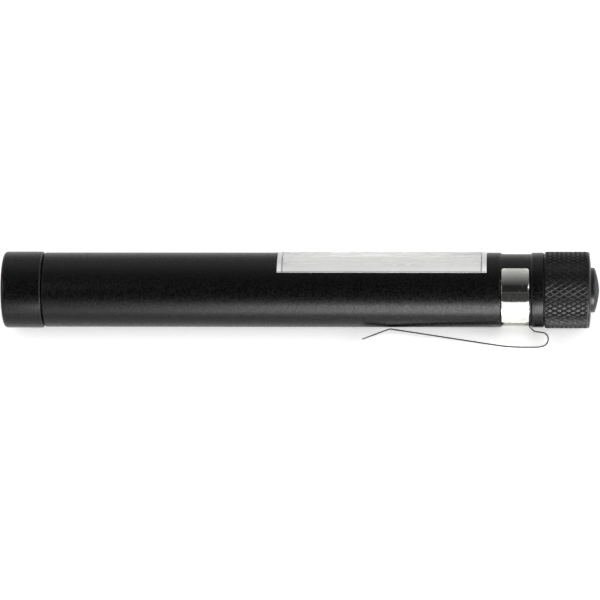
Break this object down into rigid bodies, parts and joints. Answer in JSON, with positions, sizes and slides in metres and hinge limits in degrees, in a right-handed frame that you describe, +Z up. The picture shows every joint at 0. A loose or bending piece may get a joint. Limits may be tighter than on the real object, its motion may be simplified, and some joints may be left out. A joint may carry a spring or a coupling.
{
  "type": "pen work light",
  "caption": "Slim round torch with a lens at one end, a long side window light, a spring-steel pocket clip and a knurled screw cap with a rubber push button.",
  "frame": {"origin": "middle of the bounding box on the table that the light lies on, below the barrel", "axes": "+X along the barrel from the head's lens to the tail button, +Z up from the table; the light lies on its head, its tail cap and one edge of its clip, with the side window turned up and back to +Y and the clip turned down to -Y"},
  "size_m": [0.1634, 0.0256, 0.021],
  "materials": {
    "bezel": "black anodised, satin",
    "barrel": "black anodised, satin, faintly grained",
    "tail_cap": "black anodised, diamond knurled",
    "front_lens": "clear, polished",
    "seal_rubber": "matte black",
    "reflector": "mirror bright",
    "led_emitter": "white package with a clear dome over yellow phosphor",
    "led_board": "white solder mask",
    "led_pill": "turned",
    "circuit_board": "green solder mask",
    "ferrite": "dark grey",
    "chip": "moulded epoxy",
    "contact_brass": "gilt",
    "tray": "white, moulded",
    "cob_board": "white solder mask",
    "cob_strip": "yellow silicone phosphor",
    "window_cover": "clear, moulded",
    "wire_red": "silicone insulation",
    "wire_black": "silicone insulation",
    "sleeve": "thin translucent tube",
    "cell": "printed film over the can",
    "spring_gilt": "gilt wire",
    "retainer": "turned, plain",
    "switch_housing": "moulded",
    "spacer": "moulded",
    "plunger": "moulded",
    "spring_steel": "bright wire",
    "button_rubber": "smooth black, slightly glossy",
    "clip_steel": "bright plated spring steel"
  },
  "bodies": {
    "barrel": {"barrel_tube": "barrel", "window_tray": "tray", "cob_board": "cob_board", "cob_strip": "cob_strip", "window_cover": "window_cover", "wire_red": "wire_red", "wire_black": "wire_black", "cell_sleeve": "sleeve", "cell_1": "cell", "cell_2": "cell", "cell_3": "cell", "led_pill": "led_pill", "led_board": "led_board", "led_emitter": "led_emitter", "driver_board": "circuit_board", "driver_inductor": "ferrite", "driver_chip": "chip", "positive_contact": "contact_brass", "reflector": "reflector", "head_o_ring": "seal_rubber"},
    "lens": {"front_lens": "front_lens", "lens_seal": "seal_rubber"},
    "head": {"bezel": "bezel"},
    "switch_insert": {"switch_board": "circuit_board", "switch_housing": "switch_housing", "tail_spring": "spring_gilt", "switch_spacer": "spacer"},
    "cap": {"tail_cap": "tail_cap", "tail_o_ring": "seal_rubber", "switch_retainer": "retainer"},
    "button": {"switch_plunger": "plunger", "plunger_spring": "spring_steel", "switch_boot": "button_rubber"},
    "clip_ring": {"clip_band": "clip_steel"},
    "clip_spring": {"clip_arm": "clip_steel"}
  },
  "joints": [
    {"name": "head_travel", "type": "slide", "parent": "barrel", "child": "lens", "axis": [-1, 0, 0], "range_m": [0, 0.00406]},
    {"name": "head_turn", "type": "hinge", "parent": "lens", "child": "head", "pos_m": [-0.08055, 0.00226, 0.0105], "axis": [-1, 0, 0], "range_deg": [0, 1170]},
    {"name": "cap_travel", "type": "slide", "parent": "barrel", "child": "switch_insert", "axis": [1, 0, 0], "range_m": [0, 0.00406]},
    {"name": "cap_turn", "type": "hinge", "parent": "switch_insert", "child": "cap", "pos_m": [0.06705, 0.00226, 0.0105], "axis": [1, 0, 0], "range_deg": [0, 1170]},
    {"name": "button_press", "type": "slide", "parent": "switch_insert", "child": "button", "axis": [-1, 0, 0], "range_m": [0, 0.0012], "stiffness_N_per_m": 800, "springref_m": -0.001, "deforming": ["switch_boot", "plunger_spring"]},
    {"name": "clip_swing", "type": "hinge", "parent": "barrel", "child": "clip_ring", "pos_m": [0.0589, 0.00226, 0.0105], "axis": [1, 0, 0], "range_deg": [-95, 95]},
    {"name": "clip_open", "type": "hinge", "parent": "clip_ring", "child": "clip_spring", "pos_m": [0.06582, -0.00924, 0.00362], "axis": [0, -0.5135, 0.8581], "range_deg": [0, 7], "stiffness_Nm_per_rad": 0.8, "springref_deg": -2.29}
  ],
  "couplings": [
    {"joint": "head_travel", "follows": "head_turn", "m_per_rad": 0.00019894},
    {"joint": "cap_travel", "follows": "cap_turn", "m_per_rad": 0.00019894}
  ]
}
